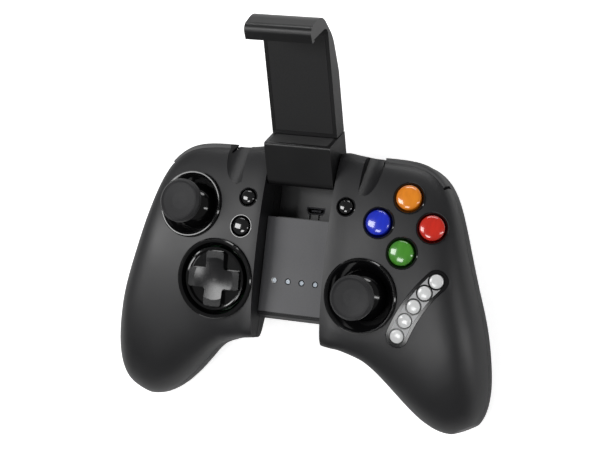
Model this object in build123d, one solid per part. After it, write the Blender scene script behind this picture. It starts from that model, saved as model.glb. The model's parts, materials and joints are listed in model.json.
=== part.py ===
from build123d import *
import os
from math import copysign, cos, hypot, pi, radians, sin, sqrt

# A two-handed game controller with a phone clamp that swings up from a recess in its middle.
# X runs to the player's right, Y away from the player, Z out of the face.
# The piece functions work from the face: z is zero on the highest line of the face.
# Everything is lifted at the end, so that the controller lies on the plane z = 0.

# Overall size of the body
half_width = 77.0
body_length = 101.5
body_depth = 38.0
recess_half_width = 14.3
wall = 2.2
overrun = 30.0

# The face is highest on one line across it and falls away to both sides
crown_line_y = -0.5
crown_drop = 2.1
crown_reach = 27.3

# Fits and gaps
seat_gap = 0.15
moving_gap = 0.3
shaft_gap = 0.05
edge_round = 1.0

# Each half is a loft through sections that fan from the recess wall round to the tip of the grip.
# A section stands on the line from an inner to an outer place in plan, and has a height at its
# middle, where it is widest, and at its floor. Its squareness is a superellipse's exponent.
# x counts from the recess wall to the half width, y in body lengths, heights in body depths.
# inner x, inner y, outer x, outer y, top, inner middle, outer middle, inner floor, outer floor, squareness
section_shares = [
    (0.000, -0.334, 0.000, 0.396, 0.000, -0.250, -0.342, -0.408, -0.816, 6.0),
    (0.091, -0.342, 0.115, 0.395, 0.000, -0.289, -0.342, -0.461, -0.816, 6.0),
    (0.150, -0.351, 0.250, 0.389, 0.000, -0.329, -0.342, -0.526, -0.816, 5.5),
    (0.207, -0.363, 0.394, 0.388, 0.000, -0.368, -0.342, -0.592, -0.816, 5.0),
    (0.265, -0.380, 0.545, 0.373, -0.008, -0.408, -0.342, -0.684, -0.763, 4.6),
    (0.324, -0.408, 0.675, 0.313, -0.021, -0.461, -0.342, -0.789, -0.724, 4.2),
    (0.370, -0.436, 0.761, 0.213, -0.032, -0.513, -0.342, -0.882, -0.697, 3.8),
    (0.418, -0.467, 0.833, 0.077, -0.042, -0.566, -0.361, -0.947, -0.737, 3.4),
    (0.467, -0.500, 0.898, -0.059, -0.053, -0.618, -0.421, -0.987, -0.816, 3.0),
    (0.522, -0.533, 0.955, -0.187, -0.068, -0.658, -0.500, -1.000, -0.908, 2.8),
    (0.585, -0.566, 0.992, -0.325, -0.100, -0.684, -0.592, -1.005, -0.979, 2.6),
    (0.656, -0.593, 1.000, -0.438, -0.158, -0.697, -0.658, -1.011, -1.011, 2.5),
    (0.729, -0.610, 0.976, -0.522, -0.237, -0.711, -0.689, -1.000, -1.000, 2.4),
    (0.797, -0.613, 0.937, -0.566, -0.335, -0.716, -0.711, -0.955, -0.955, 2.3),
]
closing_sections = 1
tip_round = 3.2
section_points = 24
seam_angle = -pi / 4
slant_share = 1.15

# The parting line between the covers, as (y in body lengths, height in body depths)
parting_inner_shares = [(0.6, -0.342), (0.0, -0.342), (-0.2, -0.303), (-0.355, -0.26), (-0.45, -0.47), (-0.8, -0.72)]
parting_outer_shares = [(0.6, -0.342), (0.08, -0.348), (-0.06, -0.421), (-0.2, -0.51), (-0.44, -0.671), (-0.8, -0.74)]
parting_gap = 0.2

# Valleys between the shoulders and the straight lugs beside the clamp, each with one upright side
valley_radius = 6.5
valley_x = 26.5
lug_side = 24.2
valley_start = (27.0, 4.4)
valley_end = (39.0, -3.9)

# Recess between the halves: a panel in front, a deep well for the clamp's jaw behind it
panel_depth = 8.15
panel_front_y = -23.7
panel_back_y = 13.8
panel_thickness = 1.2
panel_margin = 0.3
panel_seat = 1.8
well_back_y = 33.4
well_depth = 19.4
well_floor = 1.8
rear_wall_y = 38.0
nose_reach = 2.4
nose_depth = 17.0
belly_depth = 27.0
belly_y = -4.0
nose_round = 3.0

# Battery hump under the well, which is also what the controller's back lies on
hump_half_width = 24.0
hump_front_y = -8.0
hump_top = -16.0
hump_back_y = 35.0
hump_round = 5.0
hump_edge_round = 3.0

# Controls on the face, at (x, y)
left_stick_place = (-44.2, 15.1)
right_stick_place = (30.0, -13.2)
dpad_place = (-30.4, -12.9)
button_cluster = (44.7, 15.1)
button_spacing = 10.45
select_place = (-20.3, 19.9)
home_place = (-21.6, 8.4)
start_place = (20.3, 19.9)
media_places = [(59.1, -4.5), (55.0, -9.3), (51.2, -14.8), (48.1, -20.5), (45.4, -26.6)]

# Bezel rings round the sticks and the pad
left_ring_radius = 13.1
right_ring_radius = 14.4
pad_ring_radius = 15.7
ring_rise = 0.75
ring_flat = 0.8
ring_lip = 1.6
flange_depth = 1.2
left_hole_radius = 8.6
right_hole_radius = 9.7
hole_depth = 3.6
hole_land = 0.8
ring_body_inset = 1.4

# Thumb sticks
stick_pivot_depth = 8.0
dome_gap = 0.5
dome_thickness = 0.8
dome_rim_rise = 0.8
cap_radius = 8.5
cap_top = 10.3
cap_thickness = 3.6
cap_dish = 1.3
cap_rim = 1.7
cap_root_radius = 3.5
cap_root = 2.2
stem_radius = 2.6
stem_top = 7.2
neck_radius = 1.6
neck_top = 3.6
ball_radius = 3.0
ring_thickness = 1.3
ring_half_height = 1.5
cup_thickness = 1.5
cup_depth = 4.5
cup_height = 1.3
socket_gap = 0.12
trunnion_radius = 0.8
housing_thickness = 1.2
housing_side = 15.6
housing_foot = 1.2
stick_tilt = 18.0
stick_press = 0.6

# Direction pad
pad_radius = 12.3
pad_rim = 0.3
pad_rim_width = 1.0
pad_floor = 1.1
pad_thickness = 3.0
cross_length = 21.4
cross_width = 7.4
cross_top = 1.0
cross_dish_radius = 46.0
cross_corner = 1.2
pad_hole_gap = 0.6
pad_hole_depth = 2.2
pad_pivot_depth = 7.0
pad_tilt = 3.5
pad_scale_share = 0.8

# Push buttons
face_button_radius = 4.8
face_button_rise = 2.3
face_button_edge = 1.1
face_well_radius = 5.9
face_well_depth = 0.9
face_button_travel = 1.2
small_button_radius = 2.75
small_button_rise = 1.2
small_button_edge = 0.4
small_well_radius = 3.6
home_button_radius = 3.35
home_well_radius = 4.35
small_well_depth = 0.7
small_button_travel = 0.7
media_key_radius = 2.65
media_key_rise = 0.9
media_key_edge = 0.5
media_key_travel = 0.6
media_strip_radius = 4.3
media_strip_thickness = 1.2
button_flange_width = 0.9
small_flange_width = 0.6
media_flange_width = 0.15
button_flange_depth = 2.8
button_flange_thickness = 1.1
stem_lift_share = 0.22
button_stem_radius = 2.0
media_stem_radius = 1.5
rubber_dome_height = 1.8
rubber_dome_radius = 2.4
rubber_dome_top = 1.3
rubber_sheet_thickness = 0.6

# Circuit boards
board_top = -16.6
board_thickness = 1.6
board_inset = 3.0
board_front_y = -29.0
board_back_y = 26.3
board_start_x = 16.9
board_end_x = 63.0
main_board_top = -12.9
main_board_half_width = 13.2
main_board_back_y = 10.6
main_board_front_y = -21.0
main_board_post = 1.8
indicator_y = -11.0
indicator_spacing = 5.67
indicator_radius = 0.85
indicator_body = 1.5

# Battery and charging port
battery_half_width = 19.0
battery_front_y = 3.5
battery_back_y = 29.8
battery_top = -25.0
battery_corner = 3.0
port_x = 1.2
port_y = 17.4
port_width = 7.5
port_height = 2.6
port_length = 5.0
port_shell = 0.35
port_taper = 0.9
tongue_thickness = 0.7
groove_width = 1.2

# Shoulder buttons and triggers
shoulder_centre = (42.0, 12.0)
bumper_shares = [(0.27, 0.386), (0.394, 0.388), (0.545, 0.373), (0.625, 0.342), (0.675, 0.308)]
bumper_band_share = 0.86
bumper_slot_share = 0.72
bumper_top = -7.4
bumper_bottom = -11.3
bumper_proud = 0.6
bumper_end_gap = 0.9
bumper_slot_bottom = -13.3
bumper_pivot = (35.8, 30.4)
bumper_arm_width = 5.2
bumper_arm_thickness = 3.0
bumper_pin_radius = 1.1
bumper_turn = 2.6
bracket_plate_top = -11.7
bracket_plate_thickness = 1.1
trigger_left_x = 32.6
trigger_right_x = 47.4
trigger_pivot = (29.3, -16.2)
trigger_pin_radius = 1.2
trigger_turn = 13.0
trigger_round = 1.0
bracket_cheek = 1.4
bracket_front_y = 26.8
trigger_outline_shares = [
    (0.362, -0.352), (0.371, -0.400), (0.370, -0.500), (0.358, -0.640), (0.353, -0.790), (0.345, -0.905),
    (0.330, -0.935), (0.321, -0.880), (0.314, -0.740), (0.300, -0.600), (0.281, -0.510), (0.264, -0.450),
    (0.268, -0.362),
]
switch_side = 2.7
switch_height = 2.6
switch_button_radius = 0.9

# Clamp: u runs along the arm from the hinge, v from the phone's side to the back
clamp_lean = 60.5
clamp_fold = 150.0
hinge_y = 31.0
hinge_z = -8.8
hinge_pin_radius = 1.5
hinge_pin_half_length = 18.2
ledge_u = 15.7
lip_v = -7.1
arm_front_v = 1.5
arm_back_v = 8.8
base_half_width = 13.6
base_foot_u = 2.5
base_heel_u = 4.4
heel_round = 3.4
lip_round = 1.0
sweep_gap = 0.7
washer_radius = 4.2
arm_half_width = 13.4
arm_rim = 1.5
arm_length = 45.2
arm_foot_gap = 0.3
hook_depth = 15.4
hook_lip = 5.8
hook_catch = 0.9
hook_lip_thickness = 2.0
hook_bulge = 1.1
hook_crown = (-2.8, 7.6)
hook_shoulder = (6.0, -5.0)
hook_root = -20.0
hook_corner_round = 3.4
hook_crown_round = 9.0
hook_back_round = 18.0
hook_side_round = 1.2
grip_pad_thickness = 0.6
grip_pad_gap = 0.1
rail_half_width = 6.4
rail_front_v = 3.7
rail_thickness = 2.6
rail_top_u = 54.0
rail_root_u = 9.0
rail_gap = 0.25
arm_travel = 28.0
spring_x = 9.3
spring_radius = 1.5
spring_wire = 0.5
spring_pitch = 2.1
spring_turns = 12

# Screws and the posts that they go into
post_radius = 3.6
screw_radius = 1.25
screw_head_radius = 2.1
screw_head_depth = 1.6
screw_length = 8.0
screw_grip = 3.5
post_places = [(62.0, -43.0), (21.6, -30.0), (26.8, 26.6)]

# The clamp's own plane: its x is v, its y is u and its z is X
clamp_plane = Plane(origin=(0, hinge_y, hinge_z), z_dir=(1, 0, 0),
                    x_dir=(0, cos(radians(clamp_lean)), -sin(radians(clamp_lean))))


# Small helpers

def crown(y):
    """Height of the face at a distance along it."""
    return -crown_drop * ((y - crown_line_y) / crown_reach) ** 2


def box_between(low, high):
    """A box from its lowest to its highest corner."""
    size = [high[i] - low[i] for i in range(len(low))]
    return Pos(*low) * Box(*size, align=(Align.MIN, Align.MIN, Align.MIN))


def turned(profile):
    """The solid that an outline of (radius, height) makes when it turns round the local Z."""
    face = make_face(Polyline([(r, 0, z) for r, z in profile], close=True))
    return revolve(face, Axis.Z, 360)


def post(radius, low, high):
    """A round bar along the local Z between two heights."""
    return Pos(0, 0, low) * Cylinder(radius, high - low, align=(Align.CENTER, Align.CENTER, Align.MIN))


def side_solid(points, half_width_here, rounds=0):
    """A solid with an outline of (y, z) and a width along X, both sides of the middle."""
    face = make_face(Polyline([(0, y, z) for y, z in points], close=True))
    if rounds:
        face = fillet(face.vertices(), rounds)
    return extrude(face, half_width_here, dir=(1, 0, 0), both=True)


def clamp_solid(points, half_width_here, rounds=()):
    """A solid of the clamp from an outline of (v, u), with its corners rounded by (corner, radius)."""
    face = make_face(Polyline([(v, u) for v, u in points], close=True))
    for corner, radius in rounds:
        nearest = face.vertices().sort_by_distance(Vector(*points[corner]))[0]
        face = fillet(nearest, radius)
    return clamp_plane * extrude(face, half_width_here, both=True)


def mirrored(shape):
    """The same piece on the player's left."""
    return mirror(shape, about=Plane.YZ)


# The body's outer form

def section(shares, inset):
    """One section of a half, moved in from its outer form by the inset."""
    in_x, in_y, out_x, out_y, top, in_mid, out_mid, in_floor, out_floor, squareness = shares
    start = recess_half_width + inset
    reach = half_width - start
    ax, ay = start + in_x * reach, in_y * body_length
    bx, by = start + out_x * reach, out_y * body_length
    chord = hypot(bx - ax, by - ay)
    shift = inset * slant_share / chord
    points = []
    for k in range(section_points):
        angle = 2 * pi * k / section_points + seam_angle
        along = (1 + copysign(abs(cos(angle)) ** (2 / squareness), cos(angle))) / 2
        height = abs(sin(angle)) ** (2 / squareness)
        place = shift + (1 - 2 * shift) * along
        x, y = ax + (bx - ax) * place, ay + (by - ay) * place
        middle = body_depth * (in_mid + (out_mid - in_mid) * along)
        floor = body_depth * (in_floor + (out_floor - in_floor) * along) + inset
        ceiling = crown(y) + top * body_depth - inset
        level = ceiling if sin(angle) >= 0 else floor
        points.append(Vector(x, y, middle + (level - middle) * height))
    return Wire([Edge.make_spline(points, periodic=True)])


def half_body(inset=0.0):
    """The right half of the body, from the recess wall to the tip of the grip, which stays solid."""
    if inset > 0:
        return Solid.make_loft([section(shares, inset) for shares in section_shares[:-closing_sections]])
    half = Solid.make_loft([section(shares, inset) for shares in section_shares])
    end = half.faces().sort_by(Axis.Y)[0]
    return fillet(end.edges(), tip_round)


def valley(growth):
    """The groove behind the face, between a shoulder and the upright side of the lug beside the clamp."""
    start = Vector(valley_x, *valley_start)
    end = Vector(valley_x, *valley_end)
    run = (end - start).normalized()
    base = Plane(origin=start - run * valley_radius, z_dir=run)
    bar = base * Cylinder(valley_radius + growth, (end - start).length + 3 * valley_radius,
                          align=(Align.CENTER, Align.CENTER, Align.MIN))
    return bar & box_between((lug_side - growth, 0, -body_depth), (half_width, body_length, overrun))


def centre_block(inset, half):
    """The middle of the body under the recess, before the well is cut."""
    front = panel_front_y
    points = [
        (front + inset, -panel_depth - inset),
        (front - nose_reach / 2 + inset, -panel_depth - nose_reach / 2 - inset),
        (front - nose_reach + inset, -(panel_depth + nose_depth) / 2),
        (front - nose_reach / 2 + inset, -nose_depth + inset),
        (belly_y + inset, -belly_depth + inset),
        (rear_wall_y - inset, -belly_depth + inset),
        (rear_wall_y - inset, -panel_depth - inset),
    ]
    return side_solid(points, half)


def hump(inset, top):
    """The battery hump under the well."""
    low = (-hump_half_width + inset, hump_front_y + inset, -body_depth + inset)
    high = (hump_half_width - inset, hump_back_y - inset, top)
    block = box_between(low, high)
    block = fillet(block.edges().filter_by(Axis.Z), hump_round - inset)
    return fillet(block.faces().sort_by(Axis.Z)[0].edges(), hump_edge_round)


def well(panel_growth, growth, half):
    """The space in the recess: over the panel, down into the well and round the hinge."""
    space = box_between((-half, panel_front_y - overrun, -panel_depth - panel_growth),
                        (half, panel_back_y + overrun, overrun))
    space += box_between((-half, panel_back_y - growth, -well_depth - growth), (half, well_back_y + growth, overrun))
    reach = hypot(base_heel_u, arm_back_v) + sweep_gap + growth
    return space + Plane(origin=(-half, hinge_y, hinge_z), z_dir=(1, 0, 0)) * post(reach, 0, 2 * half)


def below_parting(side):
    """Everything below the parting line of one half."""
    def profile(shares, x):
        points = [Vector(x, y * body_length, z * body_depth) for y, z in shares]
        ends = [Vector(x, shares[-1][0] * body_length, -body_depth - overrun),
                Vector(x, shares[0][0] * body_length, -body_depth - overrun)]
        return Wire(Polyline(points + ends, close=True).edges())
    half = Solid.make_loft([profile(parting_inner_shares, 0), profile(parting_inner_shares, recess_half_width),
                            profile(parting_outer_shares, half_width + nose_reach)], ruled=True)
    return half if side > 0 else mirrored(half)


def parting_level(x, y):
    """Height of the parting line at a place on the right."""
    across = (x - recess_half_width) / (half_width + nose_reach - recess_half_width)
    levels = []
    for shares in (parting_inner_shares, parting_outer_shares):
        for (y1, z1), (y2, z2) in zip(shares, shares[1:]):
            if y2 * body_length <= y <= y1 * body_length:
                levels.append(z1 + (z2 - z1) * (y / body_length - y1) / (y2 - y1))
    return body_depth * (levels[0] + (levels[1] - levels[0]) * across)


def face_plane(place):
    """The plane that touches the face at a place, with its Z straight out of the face."""
    skin = right_half.faces().sort_by(SortBy.AREA)[-1]
    hits = skin.find_intersection_points(Axis((abs(place[0]), place[1], overrun), (0, 0, -1)))
    point, normal = max(hits, key=lambda hit: hit[0].Z)
    if normal.Z < 0:
        normal = normal * -1
    side = copysign(1, place[0])
    normal = Vector(normal.X * side, normal.Y, normal.Z)
    across = Vector(1, 0, -normal.X / normal.Z)
    return Plane(origin=(place[0], place[1], point.Z), x_dir=across, z_dir=normal)


def down_to(plane, height):
    """Distance along a face plane's Z from its origin to a level."""
    return (height - plane.origin.Z) / plane.z_dir.Z


right_half = half_body()
left_half = mirrored(right_half)


# Shoulder buttons and triggers, on the right

def shoulder_line():
    """Places along the back of a shoulder in plan."""
    reach = half_width - recess_half_width
    return [Vector(recess_half_width + x * reach, y * body_length) for x, y in bumper_shares]


def shoulder_region(inner_share, outer_share, margin):
    """A band in plan along the back of a shoulder, between two copies of its outline."""
    line = shoulder_line()
    line[0] = line[0] + (line[0] - line[1]).normalized() * margin
    line[-1] = line[-1] + (line[-1] - line[-2]).normalized() * margin
    centre = Vector(*shoulder_centre)
    inner = [centre + (p - centre) * inner_share for p in line]
    outer = [centre + (p - centre) * outer_share for p in line]
    return make_face([Spline(inner), Line(inner[-1], outer[-1]), Spline(outer), Line(outer[0], inner[0])])


def upright(face, low, high):
    """A plan face drawn up from one level to another."""
    return Pos(0, 0, low) * extrude(face, high - low)


def bumper():
    """Shoulder button: a curved bar with an arm that turns on an upright pin."""
    band = upright(shoulder_region(bumper_band_share, 1 + overrun / half_width, 0), bumper_bottom, bumper_top)
    bar = half_body(-bumper_proud) & band
    bar = bar - valley(moving_gap)
    x, y = bumper_pivot
    top = bumper_bottom + bumper_arm_thickness
    arm_end_y = shoulder_centre[1] + (bumper_shares[0][1] * body_length - shoulder_centre[1]) * bumper_band_share
    arm = box_between((x - bumper_arm_width / 2, y, bumper_bottom),
                      (x + bumper_arm_width / 2, arm_end_y + bumper_arm_thickness / 2, top))
    eye = Pos(x, y, 0) * post(bumper_arm_width / 2, bumper_bottom, top)
    bore = Pos(x, y, 0) * post(bumper_pin_radius + shaft_gap, bumper_bottom - overrun, overrun)
    return bar + arm + eye - bore


def bumper_slot():
    """Space in the covers for a shoulder button and its travel."""
    band = shoulder_region(bumper_slot_share, 1 + overrun / half_width, bumper_end_gap)
    return upright(band, bumper_slot_bottom, bumper_top + moving_gap)


def trigger():
    """Trigger: a curved lever that turns on a pin along X."""
    points = [(y * body_length, z * body_depth) for y, z in trigger_outline_shares]
    face = make_face(Polyline([(trigger_left_x, y, z) for y, z in points], close=True))
    face = fillet(face.vertices(), trigger_round)
    lever = extrude(face, trigger_right_x - trigger_left_x, dir=(1, 0, 0))
    line = shoulder_line()
    front_left = Vector(line[0].X, shoulder_centre[1])
    front_right = Vector(line[-1].X, shoulder_centre[1])
    plan = make_face([Spline(line), Line(line[-1], front_right), Line(front_right, front_left),
                      Line(front_left, line[0])])
    lever = lever & upright(plan, -body_depth, 0)
    bore = Plane(origin=(0, *trigger_pivot), z_dir=(1, 0, 0)) * post(trigger_pin_radius + shaft_gap, 0, half_width)
    return lever - bore


def trigger_opening():
    """Opening in the rear cover for a trigger and its travel."""
    front = min(y for y, z in trigger_outline_shares) * body_length - 2 * moving_gap
    return box_between((trigger_left_x - moving_gap, front, -body_depth - overrun),
                       (trigger_right_x + moving_gap, front + overrun, bumper_slot_bottom + moving_gap))


def shoulder_bracket():
    """Bracket that carries the shoulder button's pin and the trigger's pin."""
    left = trigger_left_x - moving_gap - bracket_cheek
    right = trigger_right_x + moving_gap + bracket_cheek
    plate_bottom = bracket_plate_top - bracket_plate_thickness
    cheek_bottom = trigger_pivot[1] - 2 * trigger_pin_radius
    plate = box_between((left, bracket_front_y, plate_bottom), (right, body_length / 2, bracket_plate_top))
    bracket = plate
    for x in (left, right - bracket_cheek):
        bracket += box_between((x, bracket_front_y, cheek_bottom), (x + bracket_cheek, body_length / 2, plate_bottom))
    bracket = bracket & half_body(wall + seat_gap)
    bore = Plane(origin=(0, *trigger_pivot), z_dir=(1, 0, 0)) * post(trigger_pin_radius + shaft_gap, 0, half_width)
    pin_top = bumper_bottom + bumper_arm_thickness + bumper_pin_radius
    pin = Pos(*bumper_pivot, 0) * post(bumper_pin_radius, plate_bottom, pin_top)
    return bracket - bore + pin


def trigger_pin():
    """Pin through a trigger and its bracket."""
    left = trigger_left_x - moving_gap - bracket_cheek
    right = trigger_right_x + moving_gap + bracket_cheek
    return Plane(origin=(0, *trigger_pivot), z_dir=(1, 0, 0)) * post(trigger_pin_radius, left, right)


def shoulder_switch():
    """Push switch behind a shoulder button, standing on the bracket."""
    x = (trigger_left_x + trigger_right_x) / 2 + switch_side
    inner_y = shoulder_centre[1] + (bumper_shares[2][1] * body_length - shoulder_centre[1]) * bumper_band_share
    button_end = inner_y - 3 * moving_gap - sin(radians(bumper_turn)) * (x - bumper_pivot[0])
    body_back = button_end - switch_button_radius
    body = box_between((x - switch_side / 2, body_back - switch_height, bracket_plate_top),
                       (x + switch_side / 2, body_back, bracket_plate_top + switch_side))
    middle = Plane(origin=(x, 0, bracket_plate_top + switch_side / 2), z_dir=(0, 1, 0))
    return body + middle * post(switch_button_radius, body_back, button_end)


# Thumb sticks

def gimbal(depth, scale):
    """Ball, ring and cup of a two-way pivot at a depth under the face, as (ball, ring, cup)."""
    centre = Pos(0, 0, -depth)
    ring_in = (ball_radius + socket_gap) * scale
    ring_out = ring_in + ring_thickness * scale
    cup_in = ring_out + socket_gap * scale
    cup_out = cup_in + cup_thickness * scale
    pin = trunnion_radius * scale
    across = Plane(origin=(0, 0, 0), z_dir=(1, 0, 0))
    along = Plane(origin=(0, 0, 0), z_dir=(0, 1, 0))
    pin_end = ring_out - socket_gap * scale
    ball = Sphere(ball_radius * scale) + along * post(pin, -pin_end, pin_end)
    level = ring_half_height * scale
    ring = (Sphere(ring_out) - Sphere(ring_in)) & post(ring_out, -level, level)
    ring = ring - along * post(pin + shaft_gap, -cup_out, cup_out)
    trunnion_end = cup_out - socket_gap * scale
    trunnion = across * post(pin, (ring_in + ring_out) / 2, trunnion_end)
    ring = ring + trunnion + mirror(trunnion, about=Plane.YZ)
    cup = post(cup_out, -cup_depth * scale, cup_height * scale)
    cup = cup - Sphere(cup_in) - post(cup_in, 0, cup_out)
    cup = cup - across * post(pin + shaft_gap, -cup_out, cup_out)
    return centre * ball, centre * ring, centre * cup


def cup_outer_radius(scale):
    """Outer radius of a gimbal's cup."""
    return (ball_radius + ring_thickness + cup_thickness + 2 * socket_gap) * scale


def ring_bezel(radius, hole_radius, depth):
    """Gloss ring round a stick or the pad, sloping down to its hole."""
    body_radius = radius - ring_body_inset
    return turned([
        (radius, -flange_depth), (radius, ring_rise - ring_flat / 2), (radius - ring_flat / 2, ring_rise),
        (radius - ring_flat, ring_rise), (radius - ring_lip, ring_rise / 2),
        (hole_radius + hole_land / 2, -depth), (hole_radius, -depth - hole_land / 2),
        (hole_radius, -depth - hole_land), (body_radius, -depth - hole_land), (body_radius, -flange_depth),
    ])


def ring_seat(radius, depth):
    """Space in the cover for a ring bezel."""
    return post(radius + seat_gap, -flange_depth - seat_gap, overrun / 2) + \
        post(radius - ring_body_inset + seat_gap, -depth - 2 * wall, overrun / 2)


def dome_radius(hole_radius):
    """Radius of a stick's dome, which just clears the hole of its bezel."""
    return hypot(hole_radius - dome_gap, stick_pivot_depth - hole_depth)


def stick_cap():
    """Rubber cap of a thumb stick, dished on top with a raised rim."""
    bottom = cap_top - cap_thickness
    rim = cap_radius - cap_rim
    outline = [
        (stem_radius + shaft_gap, cap_root), (cap_root_radius, cap_root), (cap_root_radius + cap_rim / 2, bottom - cap_dish),
        (cap_radius - cap_rim / 2, bottom), (cap_radius, bottom + cap_rim / 2), (cap_radius, cap_top - cap_rim / 2),
        (cap_radius - cap_rim / 2, cap_top), (rim, cap_top - cap_rim / 4), (rim / 2, cap_top - cap_dish * 0.8),
        (0, cap_top - cap_dish), (0, stem_top), (stem_radius + shaft_gap, stem_top),
    ]
    return turned(outline)


def stick_shaft(hole_radius):
    """Stem of a thumb stick with its ball and the dome that closes the bezel's hole."""
    ball, ring, cup = gimbal(stick_pivot_depth, 1)
    outer = dome_radius(hole_radius)
    shell = Sphere(outer) - Sphere(outer - dome_thickness)
    shell = shell & post(outer, dome_rim_rise, outer)
    shell = shell + post(neck_radius, 0, outer - dome_thickness / 2)
    stem = post(stem_radius, outer - dome_thickness / 2, stem_top + stick_pivot_depth - shaft_gap)
    return ball + Pos(0, 0, -stick_pivot_depth) * (shell + stem)


def stick_housing(plane):
    """Fixed cup holder of a thumb stick, with a square foot on the board."""
    inner = cup_outer_radius(1) + moving_gap
    outer = inner + housing_thickness
    tilt_room = housing_side / 2 * (abs(plane.z_dir.X) + abs(plane.z_dir.Y))
    bottom = down_to(plane, board_top) + tilt_room + seat_gap
    foot = Box(housing_side, housing_side, housing_foot, align=(Align.CENTER, Align.CENTER, Align.MIN))
    body = post(outer, bottom, -stick_pivot_depth) + Pos(0, 0, bottom) * foot
    return body - post(inner, bottom - overrun, overrun)


def stick(side_name, place, ring_radius, hole_radius):
    """All pieces of one thumb stick, by name."""
    plane = face_plane(place)
    ball, ring, cup = gimbal(stick_pivot_depth, 1)
    return {
        side_name + "_stick_bezel": plane * ring_bezel(ring_radius, hole_radius, hole_depth),
        side_name + "_stick_cap": plane * stick_cap(),
        side_name + "_stick_shaft": plane * stick_shaft(hole_radius),
        side_name + "_stick_rocker": plane * ring,
        side_name + "_stick_carrier": plane * cup,
        side_name + "_stick_housing": plane * stick_housing(plane),
    }


# Direction pad

def pad_disc():
    """Round plate of the direction pad with a raised rim, and the ball that it rocks on."""
    rim = pad_radius - pad_rim_width
    plate = turned([
        (0, -pad_thickness), (pad_radius, -pad_thickness), (pad_radius, pad_rim / 2),
        (pad_radius - pad_rim_width / 2, pad_rim), (rim, pad_rim / 2), (rim - seat_gap, -pad_floor),
        (0, -pad_floor),
    ])
    ball, ring, cup = gimbal(pad_pivot_depth, pad_scale_share)
    return plate + ball + post(neck_radius * pad_scale_share, -pad_pivot_depth, -pad_thickness)


def pad_cross():
    """Raised cross on the direction pad, dished towards its middle."""
    outline = Rectangle(cross_length, cross_width) + Rectangle(cross_width, cross_length)
    outline = fillet(outline.vertices(), cross_corner)
    block = Pos(0, 0, -pad_floor) * extrude(outline, pad_floor + cross_top)
    return block - Pos(0, 0, cross_dish_radius + cross_top / 4) * Sphere(cross_dish_radius)


def pad_pivot(plane):
    """Fixed cup under the direction pad, standing on the board."""
    ball, ring, cup = gimbal(pad_pivot_depth, pad_scale_share)
    radius = cup_outer_radius(pad_scale_share)
    tilt_room = radius * hypot(plane.z_dir.X, plane.z_dir.Y)
    foot = post(radius, down_to(plane, board_top) + tilt_room + seat_gap, -pad_pivot_depth - cup_depth * pad_scale_share)
    return cup + foot


# Push buttons

def button(plane, radius, rise, edge, flange_width, stem, travel):
    """A domed push button with a flange under the cover and a stem over its rubber dome."""
    sag = rise - edge
    bottom = down_to(plane, board_top + rubber_sheet_thickness + rubber_dome_height) + travel + seat_gap
    bottom = bottom + stem * stem_lift_share
    flange_bottom = -button_flange_depth - button_flange_thickness
    dome = ThreePointArc((0, 0, rise), (radius / 2, 0, rise - sag / 4), (radius, 0, edge))
    side = Polyline([
        (radius, 0, edge), (radius, 0, -button_flange_depth), (radius + flange_width, 0, -button_flange_depth),
        (radius + flange_width, 0, flange_bottom), (stem, 0, flange_bottom), (stem, 0, bottom), (0, 0, bottom),
        (0, 0, rise),
    ])
    return plane * revolve(make_face(dome + side), Axis.Z, 360)


def button_hole(plane, radius):
    """Straight hole in the cover for a push button."""
    return plane * post(radius + moving_gap, -button_flange_depth - button_flange_thickness, overrun / 2)


def button_well(plane, radius, well_radius, well_depth):
    """Countersunk hole in the cover for a push button."""
    cone = turned([(0, edge_round), (well_radius + edge_round / 4, edge_round), (well_radius, 0),
                   (radius + moving_gap, -well_depth), (0, -well_depth)])
    return plane * cone + button_hole(plane, radius)


def rubber_sheet(planes):
    """A rubber sheet on the board with one dome under each button's stem."""
    top = board_top + rubber_sheet_thickness
    feet = [plane.origin + plane.z_dir * down_to(plane, top + rubber_dome_height) for plane in planes]
    rims = [Pos(foot.X, foot.Y, 0) * Circle(rubber_dome_radius) for foot in feet]
    outline = rims[0]
    if len(rims) > 1:
        outline = make_hull([edge for rim in rims for edge in rim.edges()])
    sheet = upright(outline, board_top, top)
    for foot in feet:
        sheet += Pos(foot.X, foot.Y, top) * Cone(rubber_dome_radius, rubber_dome_top, rubber_dome_height,
                                                 align=(Align.CENTER, Align.CENTER, Align.MIN))
    return sheet


# Media key strip

def media_outline(growth):
    """A band of even width along the media keys, drawn up through the face."""
    route = Spline([Vector(x, y) for x, y in media_places])
    band = trace(route, 2 * (media_strip_radius + growth))
    for place in (media_places[0], media_places[-1]):
        band = band + Pos(*place) * Circle(media_strip_radius + growth)
    return upright(band, -panel_depth, overrun)


def media_strip():
    """Inlay round the media keys, which follows the face."""
    strip = (media_outline(0) & right_half) - half_body(media_strip_thickness)
    for place in media_places:
        strip = strip - button_hole(face_plane(place), media_key_radius)
    return strip


def media_seat():
    """Space in the front cover for the media strip."""
    return media_outline(seat_gap) - half_body(media_strip_thickness + seat_gap)


# Covers

def screw_level(x, y):
    """Height of the seat of a screw's head in the rear cover."""
    return parting_level(x, y) - screw_grip


def shell():
    """Both covers before they are parted."""
    outer = right_half + left_half + centre_block(0, recess_half_width + edge_round) + hump(0, hump_top)
    outer = outer - well(0, 0, recess_half_width) - valley(0) - mirrored(valley(0))
    outer = outer - box_between((-2 * half_width, -2 * body_length, -body_depth - overrun),
                                (2 * half_width, 2 * body_length, -body_depth))
    side = half_body(wall) - valley(wall)
    for x, y in post_places:
        side = side - Pos(x, y, 0) * post(post_radius, -body_depth, 0)
    middle = centre_block(wall, recess_half_width + wall + edge_round) + hump(wall, hump_top - wall)
    for x, y in post_places:
        column = Pos(x, y, 0) * post(post_radius, -body_depth, 0)
        middle = middle - column - mirrored(column)
    hollow = side + mirrored(side) + middle
    hollow = hollow - well(panel_thickness + panel_seat, well_floor, recess_half_width + wall)
    return outer - hollow


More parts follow.
